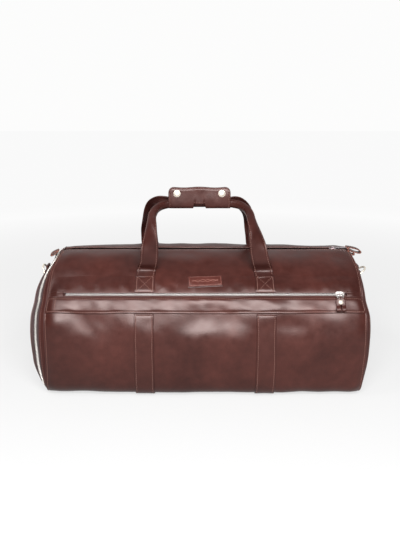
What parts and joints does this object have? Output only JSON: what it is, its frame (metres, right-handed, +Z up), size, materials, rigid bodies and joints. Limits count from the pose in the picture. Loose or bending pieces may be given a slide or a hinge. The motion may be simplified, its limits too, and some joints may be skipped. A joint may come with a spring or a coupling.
{
  "type": "leather duffel bag",
  "caption": "Barrel-shaped leather duffel bag with a zipped top, zipped front pocket, zipped ends and carry handles joined by a snap wrap.",
  "frame": {"origin": "on the ground under the middle of the barrel body", "axes": "+X along the bag to its right end, -Y towards the pocket side, +Z up"},
  "size_m": [0.6348, 0.3091, 0.364],
  "materials": {
    "body_leather": "glossy, full-grain",
    "strap_leather": "glossy, edge-stitched",
    "zip_metal": "polished",
    "nickel": "polished",
    "zip_tape": "woven",
    "lining_cloth": "woven cotton",
    "base_board": "bare board"
  },
  "bodies": {
    "bag": {"back_handle_anchors": "strap_leather", "back_handle_leg_left": "strap_leather", "back_handle_leg_right": "strap_leather", "back_panel": "body_leather", "back_strap_left": "strap_leather", "back_strap_right": "strap_leather", "base_board": "base_board", "base_panel": "body_leather", "end_panel_left": "body_leather", "end_panel_right": "body_leather", "end_zip_tape_left": "zip_tape", "end_zip_tape_right": "zip_tape", "end_zip_teeth_left": "zip_metal", "end_zip_teeth_right": "zip_metal", "front_handle_anchors": "strap_leather", "front_handle_leg_left": "strap_leather", "front_handle_leg_right": "strap_leather", "front_panel": "body_leather", "front_pocket_panel": "body_leather", "front_strap_left": "strap_leather", "front_strap_right": "strap_leather", "grab_loop_left": "strap_leather", "grab_loop_right": "strap_leather", "gusset_left": "body_leather", "gusset_right": "body_leather", "label_patch": "body_leather", "lining": "lining_cloth", "pocket_band": "body_leather", "pocket_zip_tape_lower": "zip_tape", "pocket_zip_tape_upper": "zip_tape", "pocket_zip_teeth": "zip_metal", "strap_ring_chape_left": "strap_leather", "strap_ring_chape_right": "strap_leather", "top_zip_tape_back": "zip_tape", "top_zip_tape_front": "zip_tape", "top_zip_teeth": "zip_metal"},
    "grips": {"front_handle_grip": "strap_leather", "back_handle_grip": "strap_leather", "wrap_back": "strap_leather", "snap_studs": "nickel"},
    "flap": {"wrap_flap": "strap_leather", "snap_caps": "nickel"},
    "top_slider": {"top_zip_slider": "zip_metal"},
    "top_pull": {"top_zip_pull": "zip_metal"},
    "pocket_slider": {"pocket_zip_slider": "zip_metal"},
    "pocket_link": {"pocket_pull_link": "zip_metal"},
    "puller": {"pocket_puller": "strap_leather", "puller_stud": "nickel"},
    "left_slider": {"end_zip_slider_left": "zip_metal"},
    "left_pull": {"end_zip_pull_left": "zip_metal"},
    "right_slider": {"end_zip_slider_right": "zip_metal"},
    "right_pull": {"end_zip_pull_right": "zip_metal"},
    "ring_left": {"strap_ring_left": "nickel"},
    "ring_right": {"strap_ring_right": "nickel"}
  },
  "joints": [
    {"name": "handle_drop", "type": "slide", "parent": "bag", "child": "grips", "axis": [0, 0, 1], "range_m": [-0.062, 0], "deforming": ["front_handle_leg_left", "front_handle_leg_right", "back_handle_leg_left", "back_handle_leg_right"]},
    {"name": "wrap_open", "type": "hinge", "parent": "grips", "child": "flap", "pos_m": [-0.01, 0, 0.3208], "axis": [1, 0, 0], "range_deg": [0, 150]},
    {"name": "top_zip_run", "type": "slide", "parent": "bag", "child": "top_slider", "axis": [1, 0, 0], "range_m": [-0.49, 0]},
    {"name": "top_pull_turn", "type": "hinge", "parent": "top_slider", "child": "top_pull", "pos_m": [0.25, 0, 0.2462], "axis": [0, 1, 0], "range_deg": [-165, 0]},
    {"name": "pocket_zip_run", "type": "slide", "parent": "bag", "child": "pocket_slider", "axis": [1, 0, 0], "range_m": [-0.475, 0]},
    {"name": "pocket_link_turn", "type": "hinge", "parent": "pocket_slider", "child": "pocket_link", "pos_m": [0.24, -0.12615, 0.19145], "axis": [1, 0, 0], "range_deg": [-100, 0]},
    {"name": "pocket_puller_turn", "type": "hinge", "parent": "pocket_link", "child": "puller", "pos_m": [0.24, -0.13149, 0.18618], "axis": [1, 0, 0], "range_deg": [-90, 0]},
    {"name": "left_zip_run", "type": "hinge", "parent": "bag", "child": "left_slider", "pos_m": [-0.295, 0, 0.095], "axis": [1, 0, 0], "range_deg": [-48, 30]},
    {"name": "left_pull_turn", "type": "hinge", "parent": "left_slider", "child": "left_pull", "pos_m": [-0.29783, 0.09773, 0.20354], "axis": [-0.8384, -0.3647, -0.405], "range_deg": [-165, 0]},
    {"name": "left_ring_turn", "type": "hinge", "parent": "bag", "child": "ring_left", "pos_m": [-0.3117, 0, 0.197], "axis": [0, 1, 0], "range_deg": [-149, 10]},
    {"name": "right_zip_run", "type": "hinge", "parent": "bag", "child": "right_slider", "pos_m": [0.2908, 0, 0.095], "axis": [1, 0, 0], "range_deg": [-48, 30]},
    {"name": "right_pull_turn", "type": "hinge", "parent": "right_slider", "child": "right_pull", "pos_m": [0.29516, 0.0939, 0.19929], "axis": [-0.545, 0.561, 0.6231], "range_deg": [-165, 0]},
    {"name": "right_ring_turn", "type": "hinge", "parent": "bag", "child": "ring_right", "pos_m": [0.30324, 0, 0.197], "axis": [0, 1, 0], "range_deg": [-45, 115]}
  ]
}
